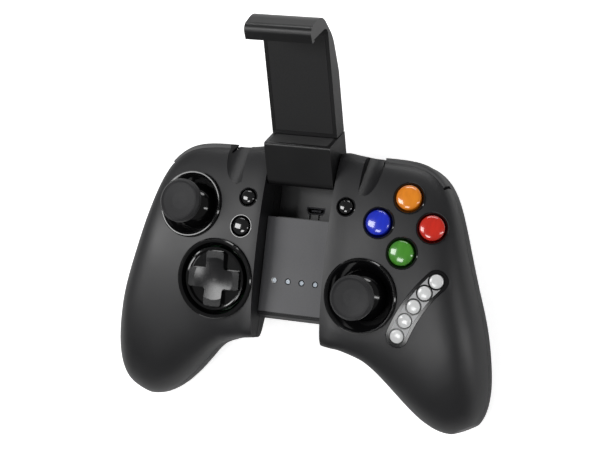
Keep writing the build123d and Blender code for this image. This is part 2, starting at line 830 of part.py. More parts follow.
def pan_block(gap):
    """The part of the body round the well that belongs to the front cover."""
    return box_between((-recess_half_width + seat_gap - gap, panel_back_y - well_floor - gap,
                        -well_depth - well_floor - gap),
                       (recess_half_width - seat_gap + gap, well_back_y + well_floor + gap,
                        -panel_depth - panel_thickness - panel_seat))


def hinge_bore(radius, half):
    """A round bar along the clamp's hinge."""
    return Plane(origin=(0, hinge_y, hinge_z), z_dir=(1, 0, 0)) * post(radius, -half, half)


def port_outline(growth):
    """Outline of the charging port, wide at the back and tapered at the front."""
    half = port_width / 2 + growth
    low, high = -port_height / 2 - growth, port_height / 2 + growth
    face = make_face(Polyline([(-half, high), (half, high), (half, 0), (half - port_taper, low),
                               (port_taper - half, low), (-half, 0)], close=True))
    return Pos(port_x, port_y, 0) * face


def indicator_places():
    """Places of the four indicator lights."""
    return [((k - 1.5) * indicator_spacing, indicator_y) for k in range(4)]


def front_cover(body, below):
    """Front cover with the panel's seat, the well and the holes for the controls."""
    cover = (body - below) + (body & pan_block(0))
    cover = cover - box_between((-recess_half_width, panel_front_y, -panel_depth - panel_thickness - seat_gap),
                                (recess_half_width, panel_back_y, -panel_depth + edge_round))
    post_top = -panel_depth - panel_thickness - panel_seat + seat_gap
    for x in (-main_board_half_width, main_board_half_width):
        for y in (main_board_front_y, main_board_back_y):
            place = Pos(x - copysign(main_board_post, x), y - copysign(main_board_post, y), 0)
            cover += place * post(main_board_post, main_board_top + seat_gap, post_top)
    for x, y in indicator_places():
        cover = cover - Pos(x, y, 0) * post(indicator_radius + seat_gap, -panel_depth - panel_seat * 2, 0)
    left, right, pad = [face_plane(place) for place in (left_stick_place, right_stick_place, dpad_place)]
    cover = cover - left * ring_seat(left_ring_radius, hole_depth)
    cover = cover - right * ring_seat(right_ring_radius, hole_depth)
    cover = cover - pad * ring_seat(pad_ring_radius, pad_hole_depth)
    for place in face_button_places():
        cover = cover - button_well(face_plane(place), face_button_radius, face_well_radius, face_well_depth)
    for place in (select_place, start_place):
        cover = cover - button_well(face_plane(place), small_button_radius, small_well_radius, small_well_depth)
    cover = cover - button_well(face_plane(home_place), home_button_radius, home_well_radius, small_well_depth)
    cover = cover - media_seat()
    for place in media_places:
        cover = cover - button_hole(face_plane(place), media_key_radius + seat_gap)
    slot = bumper_slot()
    cover = cover - slot - mirrored(slot)
    for x, y in post_places:
        bore = Pos(x, y, 0) * post(screw_radius + shaft_gap, -body_depth, screw_level(x, y) + screw_length + edge_round)
        cover = cover - bore - mirrored(bore)
    cover = cover - hinge_bore(hinge_pin_radius + shaft_gap, hinge_pin_half_length)
    cover = cover - upright(port_outline(seat_gap), -body_depth, -well_depth + edge_round)
    for x in (port_x - port_width / 4, port_x + port_width / 4):
        cover = cover - box_between((x - groove_width / 2, panel_back_y, -well_depth - groove_width / 2),
                                    (x + groove_width / 2, port_y, -well_depth + edge_round))
    return cover


def rear_cover(body, below):
    """Rear cover with the openings for the triggers and the recesses for the screws."""
    cover = (body & (Pos(0, 0, -parting_gap) * below)) - pan_block(seat_gap)
    slot = bumper_slot()
    opening = trigger_opening()
    cover = cover - slot - mirrored(slot) - opening - mirrored(opening)
    for x, y in post_places:
        bore = Pos(x, y, 0) * (post(screw_radius + moving_gap, -body_depth, 0)
                               + post(screw_head_radius + moving_gap, -body_depth - overrun, screw_level(x, y)))
        cover = cover - bore - mirrored(bore)
    return cover


def face_button_places():
    """Places of the four face buttons: back, left, right and front."""
    x, y = button_cluster
    return [(x, y + button_spacing), (x - button_spacing, y), (x + button_spacing, y), (x, y - button_spacing)]


def cover_screws():
    """The screws that hold the covers together."""
    screws = []
    for x, y in post_places:
        level = screw_level(x, y)
        screw = Pos(x, y, 0) * (post(screw_head_radius, level - screw_head_depth, level)
                                + post(screw_radius, level, level + screw_length))
        slot = Pos(x, y, 0) * box_between((-screw_head_radius, -screw_radius / 4, level - screw_head_depth),
                                          (screw_head_radius, screw_radius / 4, level - screw_head_depth / 2))
        cross = Pos(x, y, 0) * Rot(0, 0, 90) * Pos(-x, -y, 0) * slot
        screw = screw - slot - cross
        screws += [screw, mirrored(screw)]
    return Compound(children=screws)


# Panel, boards, battery and charging port

def centre_panel():
    """Panel in the middle of the face, with holes for the indicator lights."""
    panel = box_between((-recess_half_width + panel_margin, panel_front_y + panel_margin, -panel_depth - panel_thickness),
                        (recess_half_width - panel_margin, panel_back_y - panel_margin, -panel_depth))
    for x, y in indicator_places():
        panel = panel - Pos(x, y, 0) * post(indicator_radius + seat_gap, -panel_depth * 2, 0)
    return panel


def indicator_lights():
    """Light pipes over the main board."""
    bottom = main_board_top + seat_gap
    pipe = post(indicator_radius, bottom, -panel_depth - seat_gap) + post(indicator_body, bottom, bottom + indicator_radius)
    return Compound(children=[Pos(x, y, 0) * pipe for x, y in indicator_places()])


def side_board():
    """Circuit board under the controls of one side."""
    slab = box_between((board_start_x, board_front_y, board_top - board_thickness), (board_end_x, board_back_y, board_top))
    board = half_body(board_inset) & slab
    for x, y in post_places:
        board = board - Pos(x, y, 0) * post(post_radius + moving_gap, -body_depth, 0)
    return board


def main_board():
    """Circuit board under the centre panel."""
    board = box_between((-main_board_half_width, main_board_front_y, main_board_top - board_thickness),
                        (main_board_half_width, main_board_back_y, main_board_top))
    return fillet(board.edges().filter_by(Axis.Z), edge_round)


def battery():
    """Battery in the hump."""
    block = box_between((-battery_half_width, battery_front_y, -body_depth + wall + moving_gap),
                        (battery_half_width, battery_back_y, battery_top))
    return fillet(block.edges().filter_by(Axis.Z), battery_corner)


def charging_port():
    """Charging port with its tongue, mouth up in the floor of the well."""
    bottom = -well_depth - port_length
    port = upright(port_outline(0), bottom, -well_depth) - upright(port_outline(-port_shell), bottom + port_shell, 0)
    half = port_width / 2 - 2 * port_taper
    return port + box_between((port_x - half, port_y - tongue_thickness / 2, bottom),
                              (port_x + half, port_y + tongue_thickness / 2, -well_depth - port_shell))


# Clamp

def clamp_base():
    """Lower jaw of the clamp, which turns on the hinge and carries the rail."""
    points = [(lip_v, -base_foot_u), (lip_v, ledge_u), (arm_back_v, ledge_u), (arm_back_v, -base_heel_u), (0, -base_heel_u)]
    base = clamp_solid(points, base_half_width, [(0, heel_round), (1, lip_round), (3, heel_round)])
    half = rail_half_width + shaft_gap
    socket = clamp_solid([(rail_front_v - shaft_gap, rail_root_u), (rail_front_v - shaft_gap, ledge_u + overrun),
                          (rail_front_v + rail_thickness + shaft_gap, ledge_u + overrun),
                          (rail_front_v + rail_thickness + shaft_gap, rail_root_u)], half)
    return base - socket - hinge_bore(hinge_pin_radius + shaft_gap, recess_half_width) - ledge_block(grip_pad_gap, overrun)


def ledge_block(gap, rise):
    """Block for the pad on the lower jaw."""
    low_v, high_v = lip_v + arm_rim - gap, arm_front_v - gap
    low_u = ledge_u - grip_pad_thickness - gap
    points = [(low_v, low_u), (low_v, ledge_u + rise), (high_v + gap, ledge_u + rise), (high_v + gap, low_u)]
    return clamp_solid(points, base_half_width - arm_rim + gap)


def clamp_rail():
    """Flat rail that the arm slides on."""
    low, high = rail_root_u + shaft_gap, rail_top_u
    back_v = rail_front_v + rail_thickness
    rail = clamp_solid([(rail_front_v, low), (rail_front_v, high), (back_v, high), (back_v, low)], rail_half_width)
    groove = clamp_solid([(back_v - rail_thickness / 4, ledge_u + edge_round), (back_v - rail_thickness / 4, high - rail_thickness),
                          (back_v + edge_round, high - rail_thickness), (back_v + edge_round, ledge_u + edge_round)],
                         rail_half_width / 2)
    return rail - groove


def arm_block(low_v, high_v, low_u, high_u, half):
    """A straight block along the arm."""
    return clamp_solid([(low_v, low_u), (low_v, high_u), (high_v, high_u), (high_v, low_u)], half)


def spring_bore(radius, low_u, high_u):
    """A round bar along the arm where its right spring lies."""
    middle_v = rail_front_v + rail_thickness / 2
    line = clamp_plane * Plane(origin=(middle_v, 0, spring_x), z_dir=(0, 1, 0))
    return line * post(radius, low_u, high_u)


def clamp_arm():
    """Sliding arm of the clamp with its hooked upper jaw."""
    foot = ledge_u + arm_foot_gap
    jaw = ledge_u + arm_length
    front_end = arm_front_v - hook_depth
    points = [
        (arm_front_v, foot), (arm_front_v, jaw + hook_catch), (front_end + hook_lip_thickness, jaw + hook_catch),
        (front_end + hook_lip_thickness, jaw), (front_end, jaw), (front_end - hook_bulge, jaw + hook_lip),
        (hook_crown[0], jaw + hook_crown[1]), (hook_shoulder[0], jaw + hook_shoulder[1]),
        (arm_back_v, jaw + hook_root), (arm_back_v, foot),
    ]
    rounds = [(1, hook_corner_round), (5, lip_round * 3), (6, hook_crown_round), (7, hook_back_round), (8, hook_back_round)]
    arm = clamp_solid(points, arm_half_width, rounds)
    arm = arm - arm_pad_block(grip_pad_gap, overrun)
    arm = arm - arm_block(rail_front_v - rail_gap, rail_front_v + rail_thickness + rail_gap, foot - overrun,
                          rail_top_u + rail_gap * 2, rail_half_width + rail_gap)
    channel = spring_bore(spring_radius + spring_wire, foot + arm_rim, jaw - hook_lip)
    return arm - channel - mirrored(channel)


def arm_pad_block(gap, rise):
    """Block for the pad on the front of the arm."""
    foot = ledge_u + arm_foot_gap
    top = ledge_u + arm_length + hook_catch - hook_corner_round
    return arm_block(arm_front_v - rise, arm_front_v + grip_pad_thickness + gap, foot + arm_rim - gap, top + gap,
                     arm_half_width - arm_rim + gap)


def clamp_springs():
    """The two coil springs in the arm."""
    foot = ledge_u + arm_foot_gap + arm_rim + spring_wire
    middle_v = rail_front_v + rail_thickness / 2
    line = clamp_plane * Plane(origin=(middle_v, foot, spring_x), z_dir=(0, 1, 0))
    coil_radius = spring_radius - spring_wire / 2
    route = Helix(spring_pitch, spring_pitch * spring_turns, coil_radius)
    section_plane = Plane(origin=route @ 0, z_dir=route % 0)
    coil = line * sweep(section_plane * Circle(spring_wire / 2), path=route)
    return Compound(children=[coil, mirrored(coil)])


def hinge_washers():
    """Washers between the clamp and the walls of the recess."""
    washer = Plane(origin=(0, hinge_y, hinge_z), z_dir=(1, 0, 0)) * (
        post(washer_radius, base_half_width + grip_pad_gap, recess_half_width - grip_pad_gap)
        - post(hinge_pin_radius + shaft_gap, 0, recess_half_width))
    return Compound(children=[washer, mirrored(washer)])


# The assembly

body = shell()
below = below_parting(1) + below_parting(-1)
back_button, left_button, right_button, front_button = [
    button(face_plane(place), face_button_radius, face_button_rise, face_button_edge, button_flange_width,
           button_stem_radius, face_button_travel) for place in face_button_places()]
small_button = (small_button_radius, small_button_rise, small_button_edge, small_flange_width, button_stem_radius,
                small_button_travel)
pad_plane = face_plane(dpad_place)
pad_ball, pad_ring, pad_cup = gimbal(pad_pivot_depth, pad_scale_share)
pieces = {
    "front_cover": front_cover(body, below),
    "rear_cover": rear_cover(body, below),
    "cover_screws": cover_screws(),
    "centre_panel": centre_panel(),
    "indicator_lights": indicator_lights(),
    "main_board": main_board(),
    "right_board": side_board(),
    "left_board": mirrored(side_board()),
    "battery": battery(),
    "charging_port": charging_port(),
    "media_strip": media_strip(),
    "dpad_bezel": pad_plane * ring_bezel(pad_ring_radius, pad_radius + pad_hole_gap, pad_hole_depth),
    "dpad_disc": pad_plane * pad_disc(),
    "dpad_cross": pad_plane * pad_cross(),
    "dpad_rocker": pad_plane * pad_ring,
    "dpad_pivot": pad_plane * pad_pivot(pad_plane),
    "button_back": back_button,
    "button_left": left_button,
    "button_right": right_button,
    "button_front": front_button,
    "button_select": button(face_plane(select_place), *small_button),
    "button_start": button(face_plane(start_place), *small_button),
    "button_home": button(face_plane(home_place), home_button_radius, small_button_rise, small_button_edge,
                          small_flange_width, button_stem_radius, small_button_travel),
    "face_button_rubber": rubber_sheet([face_plane(place) for place in face_button_places()]),
    "media_key_rubber": rubber_sheet([face_plane(place) for place in media_places]),
    "left_button_rubber": rubber_sheet([face_plane(place) for place in (select_place, home_place)]),
    "start_button_rubber": rubber_sheet([face_plane(start_place)]),
    "right_bumper": bumper(),
    "left_bumper": mirrored(bumper()),
    "right_trigger": trigger(),
    "left_trigger": mirrored(trigger()),
    "right_shoulder_bracket": shoulder_bracket(),
    "left_shoulder_bracket": mirrored(shoulder_bracket()),
    "trigger_pins": Compound(children=[trigger_pin(), mirrored(trigger_pin())]),
    "shoulder_switches": Compound(children=[shoulder_switch(), mirrored(shoulder_switch())]),
    "clamp_base": clamp_base(),
    "ledge_pad": ledge_block(0, 0),
    "clamp_rail": clamp_rail(),
    "clamp_arm": clamp_arm(),
    "arm_pad": arm_pad_block(0, 0),
    "clamp_springs": clamp_springs(),
    "clamp_hinge_pin": hinge_bore(hinge_pin_radius, hinge_pin_half_length),
    "clamp_washers": hinge_washers(),
}
pieces.update(stick("left", left_stick_place, left_ring_radius, left_hole_radius))
pieces.update(stick("right", right_stick_place, right_ring_radius, right_hole_radius))
for number, place in enumerate(media_places, start=1):
    pieces["media_key_" + str(number)] = button(face_plane(place), media_key_radius, media_key_rise, media_key_edge,
                                                media_flange_width, media_stem_radius, media_key_travel)

os.makedirs("parts", exist_ok=True)
for name, piece in pieces.items():
    export_step(Pos(0, 0, body_depth) * piece, "parts/" + name + ".step")
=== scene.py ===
import bpy
import json
from math import cos, pi, radians, sin
from mathutils import Matrix, Vector


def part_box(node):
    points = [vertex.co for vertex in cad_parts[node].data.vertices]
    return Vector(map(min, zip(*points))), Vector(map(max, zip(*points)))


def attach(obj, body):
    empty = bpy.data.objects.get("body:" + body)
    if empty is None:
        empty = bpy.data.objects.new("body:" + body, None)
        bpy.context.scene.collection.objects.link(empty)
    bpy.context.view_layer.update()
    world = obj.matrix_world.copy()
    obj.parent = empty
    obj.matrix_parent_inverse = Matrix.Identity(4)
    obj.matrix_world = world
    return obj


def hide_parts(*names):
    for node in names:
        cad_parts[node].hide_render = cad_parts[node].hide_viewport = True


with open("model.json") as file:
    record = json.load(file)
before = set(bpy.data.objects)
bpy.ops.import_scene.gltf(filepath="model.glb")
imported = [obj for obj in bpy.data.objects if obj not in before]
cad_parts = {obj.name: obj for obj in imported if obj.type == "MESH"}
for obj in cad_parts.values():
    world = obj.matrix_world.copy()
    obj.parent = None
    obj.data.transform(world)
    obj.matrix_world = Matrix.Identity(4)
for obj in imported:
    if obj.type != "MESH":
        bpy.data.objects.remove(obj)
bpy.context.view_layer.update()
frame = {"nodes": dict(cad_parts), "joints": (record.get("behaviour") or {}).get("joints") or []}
bpy.ops.object.select_all(action="DESELECT")


# Camera
# The photograph looks down on the face from the player's right, through a long lens.
# The three directions are the camera's own right, up and back, as the controller sees them.
camera_place = Vector((0.2885, 0.0030, 0.7507))
camera_right = (0.9232, 0.1085, -0.3687)
camera_up = (-0.0967, 0.9940, 0.0502)
camera_back = (0.3719, -0.0107, 0.9282)
camera_sensor = 36.0
camera_lens = 120.5
camera_data = bpy.data.cameras.new("camera")
camera_data.sensor_width = camera_sensor
camera_data.lens = camera_lens
camera = bpy.data.objects.new("camera", camera_data)
bpy.context.scene.collection.objects.link(camera)
camera_turn = Matrix((camera_right, camera_up, camera_back)).transposed().to_4x4()
camera.matrix_world = Matrix.Translation(camera_place) @ camera_turn
bpy.context.scene.camera = camera


# Floor and studio light
# A plain white table under four soft lamps. Black plastic shows what it reflects, so the lamps are
# large: the key on the left makes the long highlights, the fill above opens the recesses, and the
# two behind and on the right draw the edges.

def linear(hex_colour, alpha=1.0):
    """An sRGB hex colour as the linear values that a shader takes."""
    values = [int(hex_colour[k:k + 2], 16) / 255 for k in (1, 3, 5)]
    return [v / 12.92 if v <= 0.04045 else ((v + 0.055) / 1.055) ** 2.4 for v in values] + [alpha]


def add_node(tree, kind, settings=None, **inputs):
    """A shader node with its settings and inputs, each by its socket's name, or by number as _0, _1."""
    node = tree.nodes.new("ShaderNode" + kind)
    for name, value in (settings or {}).items():
        setattr(node, name, value)
    for name, value in inputs.items():
        socket = node.inputs[int(name[1:])] if name[0] == "_" else node.inputs[name.replace("_", " ")]
        if isinstance(value, bpy.types.NodeSocket):
            tree.links.new(value, socket)
        else:
            socket.default_value = value
    return node


def new_material(name):
    """An empty material, its node tree and its output node."""
    material = bpy.data.materials.new(name)
    material.use_nodes = True
    tree = material.node_tree
    tree.nodes.clear()
    return material, tree, tree.nodes.new("ShaderNodeOutputMaterial")


floor_size = 6.0
floor_drop = 0.0002
bpy.ops.mesh.primitive_plane_add(size=floor_size, location=(0, 0, -floor_drop))
floor = bpy.context.object
floor.name = "floor"

# Matt white paint, which shows nothing but the controller's shadow. It glows for the camera alone,
# so the table is white in the picture and no brighter on the controller.
floor_paint, tree, output = new_material("white_table")
matt = add_node(tree, "BsdfDiffuse", Color=linear("#f4f4f4"))
glow = add_node(tree, "Emission", Color=linear("#ffffff"), Strength=0.75)
rays = add_node(tree, "LightPath").outputs["Is Camera Ray"]
both = add_node(tree, "AddShader", _0=matt.outputs[0], _1=glow.outputs[0])
mix = add_node(tree, "MixShader", _0=rays, _1=matt.outputs[0], _2=both.outputs[0])
tree.links.new(mix.outputs[0], output.inputs["Surface"])
floor.data.materials.append(floor_paint)

# Each lamp's name, place, width, height and power.
lamps = (
    ("key", (-0.68, 0.08, 0.92), 0.34, 0.60, 5.6),
    ("fill", (-0.12, -0.38, 1.00), 0.36, 0.26, 2.4),
    ("back", (-0.10, 1.00, 0.42), 0.90, 0.22, 3.2),
    ("side", (1.00, -0.12, 0.50), 0.14, 0.95, 3.2),
)
for name, place, width, height, power in lamps:
    lamp_data = bpy.data.lights.new(name, "AREA")
    lamp_data.shape = "RECTANGLE"
    lamp_data.size = width
    lamp_data.size_y = height
    lamp_data.energy = power
    lamp = bpy.data.objects.new(name, lamp_data)
    lamp.location = place
    lamp.rotation_euler = (Vector((0, 0, 0)) - Vector(place)).to_track_quat("-Z", "Y").to_euler()
    bpy.context.scene.collection.objects.link(lamp)

# A dim room for the controller, and a white one for the camera.
world = bpy.data.worlds.new("studio")
bpy.context.scene.world = world
world.use_nodes = True
tree = world.node_tree
tree.nodes.clear()
rays = add_node(tree, "LightPath").outputs["Is Camera Ray"]
soft = add_node(tree, "Background", Color=linear("#ffffff"), Strength=0.16)
plain = add_node(tree, "Background", Color=linear("#ffffff"), Strength=1.0)
mix = add_node(tree, "MixShader", _0=rays, _1=soft.outputs[0], _2=plain.outputs[0])
output = tree.nodes.new("ShaderNodeOutputWorld")
tree.links.new(mix.outputs[0], output.inputs["Surface"])
bpy.context.scene.view_settings.view_transform = "Standard"


# Covers and shoulder buttons
# Two shells of injection moulded ABS, screwed together from below, and two shoulder buttons of the
# same plastic that show in a slot between them. The mould was spark eroded, so the skin is grained.

def moulded_plastic(name, colour, roughness, grain_mm, grain_depth_mm):
    """Moulded plastic with a fine grain and a slight unevenness in its polish."""
    wear_mm = 26.3
    polish_play = 0.04
    material, tree, output = new_material(name)
    place = add_node(tree, "TexCoord").outputs["Object"]
    grain = add_node(tree, "TexNoise", Vector=place, Scale=1000 / grain_mm, Detail=2.0, Roughness=0.6)
    height = grain.outputs["Fac"]
    bump = add_node(tree, "Bump", Height=height, Strength=0.35, Distance=grain_depth_mm / 1000)
    wear = add_node(tree, "TexNoise", Vector=place, Scale=1000 / wear_mm, Detail=3.0)
    polish = add_node(tree, "MapRange", Value=wear.outputs["Fac"], _1=0.3, _2=0.7,
                      _3=roughness - polish_play, _4=roughness + polish_play)
    shade = add_node(tree, "MapRange", Value=height, _1=0.2, _2=0.8, _3=0.9, _4=1.1)
    tint = add_node(tree, "Mix", {"data_type": "RGBA", "blend_type": "MULTIPLY"}, Factor=1.0,
                    _6=linear(colour), _7=shade.outputs[0])
    shader = add_node(tree, "BsdfPrincipled", Base_Color=tint.outputs[2], Roughness=polish.outputs[0],
                      Normal=bump.outputs[0], IOR=1.53)
    tree.links.new(shader.outputs[0], output.inputs["Surface"])
    return material


def finish_node(material, *names):
    """Gives CAD nodes their finish."""
    for name in names:
        mesh = frame["nodes"][name].data
        mesh.materials.clear()
        mesh.materials.append(material)


# The grain spreads every highlight into a broad grey sheen. The real grain is finer than a pixel,
# so it is drawn coarse enough to show, here and on the other moulded plastics.
cover_plastic = moulded_plastic("spark_textured_black_abs", "#1a1a1c", 0.44, 0.45, 0.03)
finish_node(cover_plastic, "front_cover", "rear_cover", "right_bumper", "left_bumper")


# Triggers
# Two moulded ABS levers under the shoulder buttons, each on a steel pin across its bracket.
# Their mould was smoother than the covers', so their sheen is tighter and their edges catch the light.
trigger_plastic = moulded_plastic("fine_textured_black_abs", "#1c1c1e", 0.36, 0.4, 0.02)
finish_node(trigger_plastic, "right_trigger", "left_trigger")


# Clamp base and arm
# The lower jaw turns on a pin between two lugs of the cover, and the hooked arm slides on its rail.
# Both are moulded ABS. Its fine skin gives a deeper black than the covers and a tighter sheen.
clamp_plastic = moulded_plastic("fine_textured_clamp_abs", "#131314", 0.34, 0.35, 0.02)
finish_node(clamp_plastic, "clamp_base", "clamp_arm")


# Centre panel
# A flat plate of moulded ABS, let into the front cover in front of the clamp and glued down.
# It is a charcoal grey with a coarser grain, so it looks paler and flatter than the covers.
panel_plastic = moulded_plastic("spark_textured_grey_abs", "#47474a", 0.46, 0.5, 0.03)
finish_node(panel_plastic, "centre_panel")


# Bezel rings, stick shafts and pad disc
# ABS rings pressed into the front cover, the domed shafts of the two sticks inside them, and the
# disc of the direction pad. All come from polished moulds.

def polished_plastic(name, colour, roughness, coat=0.0):
    """Polished moulded plastic with a faint wave in its surface."""
    wave_mm = 6.25
    smudge_mm = 11.1
    smudge_share = 1.8
    material, tree, output = new_material(name)
    place = add_node(tree, "TexCoord").outputs["Object"]
    wave = add_node(tree, "TexNoise", Vector=place, Scale=1000 / wave_mm, Detail=1.0)
    bump = add_node(tree, "Bump", Height=wave.outputs["Fac"], Strength=0.12, Distance=0.0001)
    smudge = add_node(tree, "TexNoise", Vector=place, Scale=1000 / smudge_mm, Detail=4.0)
    polish = add_node(tree, "MapRange", Value=smudge.outputs["Fac"], _1=0.35, _2=0.75,
                      _3=roughness, _4=roughness * smudge_share)
    shader = add_node(tree, "BsdfPrincipled", Base_Color=linear(colour), Roughness=polish.outputs[0],
                      Normal=bump.outputs[0], IOR=1.53, Coat_Weight=coat, Coat_Roughness=0.04)
    tree.links.new(shader.outputs[0], output.inputs["Surface"])
    return material


# Piano black: nearly a mirror, dark but for small bright images of the lamps.
bezel_plastic = polished_plastic("piano_black_abs", "#0b0b0c", 0.07)
finish_node(bezel_plastic, "dpad_bezel", "left_stick_bezel", "right_stick_bezel", "dpad_disc",
            "left_stick_shaft", "right_stick_shaft")


# Direction pad's cross
# One moulded ABS cross that stands on the pad's disc and tilts with it.
# Thumbs have dulled its polish a little, so the lamps' images on it are soft.
cross_plastic = polished_plastic("satin_black_abs", "#101012", 0.16)
finish_node(cross_plastic, "dpad_cross")


# Thumb stick caps
# Caps of moulded silicone rubber, each dished for the thumb inside a raised rim.
# They are pushed over the heads of the shafts.

def moulded_rubber(name, colour, roughness, grain_mm):
    """Matt rubber with a fine grain and a soft sheen."""
    dust_below = 0.08
    dust_above = 0.06
    material, tree, output = new_material(name)
    place = add_node(tree, "TexCoord").outputs["Object"]
    grain = add_node(tree, "TexNoise", Vector=place, Scale=1000 / grain_mm, Detail=3.0).outputs["Fac"]
    bump = add_node(tree, "Bump", Height=grain, Strength=0.4, Distance=0.00003)
    dust = add_node(tree, "MapRange", Value=grain, _1=0.3, _2=0.75,
                    _3=roughness - dust_below, _4=roughness + dust_above)
    shader = add_node(tree, "BsdfPrincipled", Base_Color=linear(colour), Roughness=dust.outputs[0],
                      Normal=bump.outputs[0], IOR=1.45, Sheen_Weight=0.15, Sheen_Roughness=0.5)
    tree.links.new(shader.outputs[0], output.inputs["Surface"])
    return material


# Dead matt charcoal, with a dusty sheen on its edges.
cap_rubber = moulded_rubber("black_silicone_rubber", "#1d1d1f", 0.62, 0.35)
finish_node(cap_rubber, "left_stick_cap", "right_stick_cap")


# Clamp pads
# Two strips of grip rubber, glued to the jaws where they hold the phone.
# The rubber is rougher than the caps', so it looks like a plain black with hardly a highlight.
grip_rubber = moulded_rubber("black_grip_rubber", "#161617", 0.66, 0.5)
finish_node(grip_rubber, "ledge_pad", "arm_pad")


# Rubber sheets under the buttons
# Moulded silicone sheets with a dome under each stem, laid on the left and right boards.
# A pale grey between matt and satin, seen only through the gaps round the buttons.
sheet_rubber = moulded_rubber("grey_membrane_rubber", "#8a8c8e", 0.55, 0.8)
finish_node(sheet_rubber, "face_button_rubber", "media_key_rubber", "left_button_rubber",
            "start_button_rubber")


# Face buttons
# Four domes of coloured acrylic from a polished mould, each with a skirt that runs down through the
# cover. A polished ring is pressed into the well round each dome.

def button_plastic(name, colour, streak_and_rim_shade_colour):
    """Coloured button plastic under a clear gloss, mixed towards a darker colour in random streaks and
    as painted shade where the dome turns from the camera.
    """
    streak_mm = 1.43
    streak_stretch = (1.0, 0.25, 1.0)
    wave_mm = 4.17
    material, tree, output = new_material(name)
    # Painted shade: the darker colour is mixed in as the dome turns away from the camera, so the rim
    # looks shaded.
    facing = add_node(tree, "LayerWeight", Blend=0.35)
    place = add_node(tree, "TexCoord").outputs["Object"]
    flow = add_node(tree, "Mapping", Vector=place, Scale=streak_stretch)
    streak = add_node(tree, "TexNoise", Vector=flow.outputs[0], Scale=1000 / streak_mm, Detail=2.0)
    # Random streaks and the painted rim shade together set how much of the darker colour is used.
    depth = add_node(tree, "Math", {"operation": "MULTIPLY_ADD"}, _0=streak.outputs["Fac"], _1=0.5,
                     _2=facing.outputs["Facing"])
    share = add_node(tree, "MapRange", Value=depth.outputs[0], _1=0.2, _2=1.0, _3=0.0, _4=1.0)
    tint = add_node(tree, "Mix", {"data_type": "RGBA"}, Factor=share.outputs[0],
                    _6=linear(colour), _7=linear(streak_and_rim_shade_colour))
    wave = add_node(tree, "TexNoise", Vector=place, Scale=1000 / wave_mm, Detail=1.0)
    bump = add_node(tree, "Bump", Height=wave.outputs["Fac"], Strength=0.08, Distance=0.0001)
    shader = add_node(tree, "BsdfPrincipled", Base_Color=tint.outputs[2], Roughness=0.2,
                      Normal=bump.outputs[0], IOR=1.49, Coat_Weight=1.0, Coat_Roughness=0.03)
    tree.links.new(shader.outputs[0], output.inputs["Surface"])
    return material


def turned_piece(name, outline, sides, solid=True):
    """A round piece drawn up from a disc, or from a ring, one step of its outline after another."""
    merge_distance = 1e-7
    smooth_angle = radians(40)
    radius, height = outline[0]
    bpy.ops.object.select_all(action="DESELECT")
    bpy.ops.mesh.primitive_circle_add(vertices=sides, radius=radius, location=(0, 0, height),
                                      fill_type="NGON" if solid else "NOTHING")
    piece = bpy.context.object
    piece.name = name
    bpy.ops.object.transform_apply(location=True)
    bpy.ops.object.mode_set(mode="EDIT")
    bpy.ops.mesh.select_all(action="SELECT")
    for next_radius, next_height in outline[1:] if solid else outline[1:] + outline[:1]:
        bpy.ops.mesh.extrude_region_move(TRANSFORM_OT_translate={"value": (0, 0, next_height - height)})
        share = next_radius / radius
        bpy.ops.transform.resize(value=(share, share, 1), center_override=(0, 0, next_height))
        radius, height = next_radius, next_height
    bpy.ops.mesh.select_all(action="SELECT")
    bpy.ops.mesh.remove_doubles(threshold=merge_distance)
    bpy.ops.mesh.normals_make_consistent(inside=False)
    bpy.ops.object.mode_set(mode="OBJECT")
    bpy.ops.object.shade_smooth_by_angle(angle=smooth_angle)
    return piece


def finish_piece(piece, material, body, slot, *nodes):
    """Gives a new piece its finish and its body, and hides the CAD nodes it stands for. The slot is not
    used.
    """
    piece.data.materials.clear()
    piece.data.materials.append(material)
    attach(piece, body)
    if nodes:
        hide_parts(*nodes)


def stroke_seat(node, rise):
    """The face plane under a push button: its middle, with z against the button's stroke."""
    stroke = next(Vector(joint["axis"]) for joint in frame["joints"] if joint["child"] == node)
    turn = (-stroke).to_track_quat("Z", "Y").to_matrix()
    points = [turn.transposed() @ vertex.co for vertex in frame["nodes"][node].data.vertices]
    low = Vector([min(point[k] for point in points) for k in range(3)])
    high = Vector([max(point[k] for point in points) for k in range(3)])
    middle = turn @ Vector(((low.x + high.x) / 2, (low.y + high.y) / 2, high.z - rise))
    return Matrix.Translation(middle) @ turn.to_4x4()


def push_button(node, radius, rise, edge, skirt, sides, plastic, slot):
    """A domed button with a straight skirt, its top a quarter of an ellipse. Returns its seat."""
    steps = 10
    tip_share = 0.03
    outline = [(radius, -skirt)]
    for step in range(steps):
        angle = step / steps * pi / 2
        outline.append((radius * cos(angle), edge + (rise - edge) * sin(angle)))
    outline.append((radius * tip_share, rise))
    seat = stroke_seat(node, rise)
    dome = turned_piece(node + "_dome", outline, sides)
    dome.data.transform(seat)
    finish_piece(dome, plastic, node, slot, node)
    return seat


def well_ring(node, seat, inner, outer, depth, lip, sides):
    """The ring in a button's well: a rounded lip, and a slope down to the button."""
    round_share = 0.5
    crest_share = 1.6
    foot_share = 2.2
    foot_rise_share = 0.4
    outline = [
        (outer, 0.0),
        (outer, lip * round_share),
        (outer - lip * round_share, lip),
        (outer - lip * crest_share, lip),
        (outer - lip * foot_share, lip * foot_rise_share),
        (inner, -depth),
        (inner, -depth - lip),
        (outer - lip, -depth - lip),
        (outer - lip, -lip),
    ]
    ring = turned_piece(node + "_ring", outline, sides, solid=False)
    ring.data.transform(seat)
    finish_piece(ring, ring_acrylic, "body", "ring_black")


face_button_radius = 0.0048
face_button_rise = 0.0023
face_button_edge = 0.0009
face_button_skirt = 0.0027
face_button_sides = 64
face_ring_outer = 0.00625
face_ring_depth = 0.0009
face_ring_lip = 0.0003
ring_play = 0.00022

# Black acrylic for the rings: it looks wet, and draws a thin bright line round each button.
ring_acrylic = polished_plastic("ring_black_acrylic", "#08080a", 0.05, 0.5)
